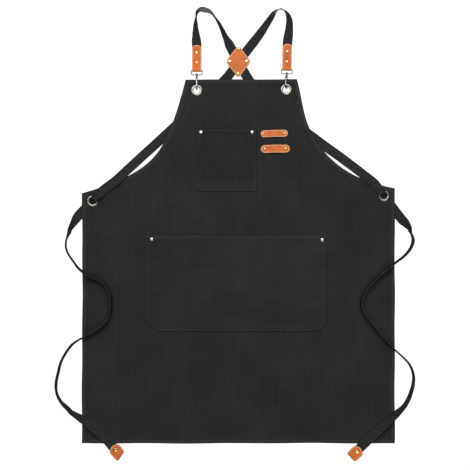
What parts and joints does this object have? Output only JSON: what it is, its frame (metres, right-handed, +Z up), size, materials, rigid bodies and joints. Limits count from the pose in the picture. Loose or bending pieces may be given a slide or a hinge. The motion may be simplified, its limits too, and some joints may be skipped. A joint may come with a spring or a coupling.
{
  "type": "work apron",
  "caption": "Dark canvas cross-back work apron laid flat, with patch pockets, leather tool loops and leather-tipped webbing straps on snap hooks.",
  "frame": {"origin": "centre of the laid-out apron on the surface it lies on", "axes": "+X across the apron to the right of its front, +Y from the hem to the shoulder straps, +Z up off the surface"},
  "size_m": [0.7933, 1.0054, 0.0229],
  "materials": {
    "canvas": "matte",
    "webbing": "matte",
    "leather": "satin",
    "brass": "polished",
    "nickel": "polished"
  },
  "bodies": {
    "apron": {"canvas_body": "canvas", "chest_pocket": "canvas", "front_pocket": "canvas", "strap_left": "webbing", "strap_right": "webbing", "tool_loop_upper": "leather", "tool_loop_lower": "leather", "cross_patch_back": "leather", "cross_patch_front": "leather", "strap_tab_left": "leather", "strap_tab_right": "leather", "tie_tip_left": "leather", "tie_tip_right": "leather", "pocket_rivet_1": "brass", "pocket_rivet_2": "brass", "pocket_rivet_3": "brass", "pocket_rivet_4": "brass", "tool_rivet_1": "brass", "tool_rivet_2": "brass", "tool_rivet_3": "brass", "tool_rivet_4": "brass", "patch_rivet_1": "brass", "patch_rivet_2": "brass", "patch_rivet_3": "brass", "patch_rivet_4": "brass", "tab_rivet_1": "brass", "tab_rivet_2": "brass", "tab_rivet_3": "brass", "tab_rivet_4": "brass", "tip_rivet_1": "brass", "tip_rivet_2": "brass", "bib_grommet_left": "brass", "bib_grommet_right": "brass", "side_grommet_left": "brass", "side_grommet_right": "brass", "snap_loop_left": "nickel", "snap_loop_right": "nickel", "snap_hook_left": "nickel", "snap_hook_right": "nickel"},
    "gate_left": {"snap_gate_left": "nickel"},
    "gate_right": {"snap_gate_right": "nickel"}
  },
  "joints": [
    {"name": "gate_left", "type": "hinge", "parent": "apron", "child": "gate_left", "pos_m": [-0.084, 0.3438, 0.0036], "axis": [-1, 0, 0], "range_deg": [0, 12], "stiffness_Nm_per_rad": 0.01, "springref_deg": -11.46},
    {"name": "gate_right", "type": "hinge", "parent": "apron", "child": "gate_right", "pos_m": [0.11466, 0.34635, 0.00383], "axis": [-0.9393, 0.0262, -0.342], "range_deg": [0, 7], "stiffness_Nm_per_rad": 0.01, "springref_deg": -11.46}
  ]
}
